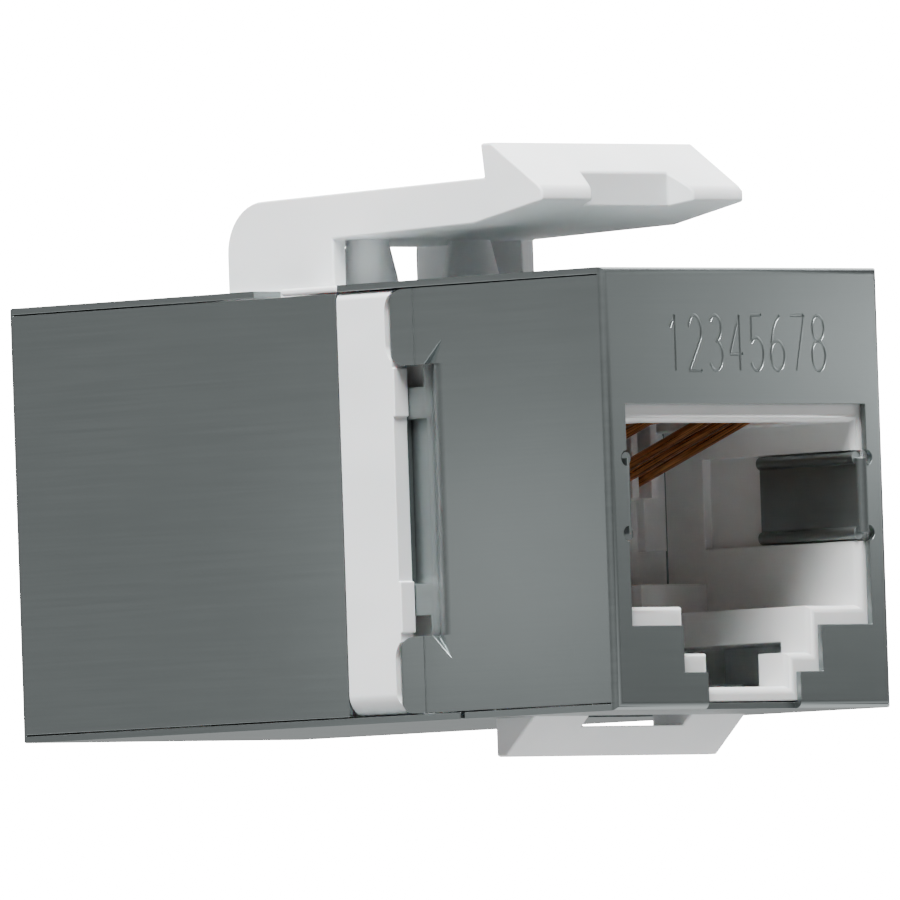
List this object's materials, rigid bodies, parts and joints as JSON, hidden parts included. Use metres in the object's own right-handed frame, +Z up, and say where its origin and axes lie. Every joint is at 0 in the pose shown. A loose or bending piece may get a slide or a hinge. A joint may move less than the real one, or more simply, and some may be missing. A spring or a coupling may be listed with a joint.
{
  "type": "keystone jack",
  "caption": "Shielded feed-through keystone jack with a modular port at each end, a sprung latch arm above and a fixed hook below.",
  "frame": {"origin": "centre of the front face of the body, in the plane of the front shield wall", "axes": "+X to the right seen from the front, +Y from the front port to the rear port, +Z up towards the latch"},
  "size_m": [0.0144, 0.0315, 0.0227],
  "materials": {
    "nickel_plated_sheet": "dark nickel plate, fine brush marks",
    "spring_sheet": "plain nickel plate",
    "white_moulding": "fine moulded satin",
    "port_moulding": "moulded satin",
    "board_laminate": "solder mask",
    "contact_wire": "drawn bronze wire"
  },
  "bodies": {
    "root": {"front_shield": "nickel_plated_sheet", "rear_shield": "nickel_plated_sheet", "left_ground_bridge": "spring_sheet", "right_ground_bridge": "spring_sheet", "clip_frame": "white_moulding", "front_jack_housing": "port_moulding", "rear_jack_housing": "port_moulding", "front_contact_carrier": "port_moulding", "rear_contact_carrier": "port_moulding", "circuit_board": "board_laminate", "front_lead_1": "contact_wire", "front_lead_2": "contact_wire", "front_lead_3": "contact_wire", "front_lead_4": "contact_wire", "front_lead_5": "contact_wire", "front_lead_6": "contact_wire", "front_lead_7": "contact_wire", "front_lead_8": "contact_wire", "rear_lead_1": "contact_wire", "rear_lead_2": "contact_wire", "rear_lead_3": "contact_wire", "rear_lead_4": "contact_wire", "rear_lead_5": "contact_wire", "rear_lead_6": "contact_wire", "rear_lead_7": "contact_wire", "rear_lead_8": "contact_wire"},
    "latch": {"latch_arm": "white_moulding"},
    "front_contacts": {"front_contact_1": "contact_wire", "front_contact_2": "contact_wire", "front_contact_3": "contact_wire", "front_contact_4": "contact_wire", "front_contact_5": "contact_wire", "front_contact_6": "contact_wire", "front_contact_7": "contact_wire", "front_contact_8": "contact_wire"},
    "rear_contacts": {"rear_contact_1": "contact_wire", "rear_contact_2": "contact_wire", "rear_contact_3": "contact_wire", "rear_contact_4": "contact_wire", "rear_contact_5": "contact_wire", "rear_contact_6": "contact_wire", "rear_contact_7": "contact_wire", "rear_contact_8": "contact_wire"}
  },
  "joints": [
    {"name": "latch_flex", "type": "hinge", "parent": "root", "child": "latch", "pos_m": [0, 0.0149, 0.01085], "axis": [1, 0, 0], "range_deg": [0, 12], "stiffness_Nm_per_rad": 0.02, "springref_deg": -2.86},
    {"name": "front_contact_flex", "type": "hinge", "parent": "root", "child": "front_contacts", "pos_m": [0, 0.00203, 0.0037], "axis": [1, 0, 0], "range_deg": [0, 9], "stiffness_Nm_per_rad": 0.005, "springref_deg": -2.86},
    {"name": "rear_contact_flex", "type": "hinge", "parent": "root", "child": "rear_contacts", "pos_m": [0, 0.02947, 0.0037], "axis": [-1, 0, 0], "range_deg": [0, 9], "stiffness_Nm_per_rad": 0.005, "springref_deg": -2.86}
  ]
}
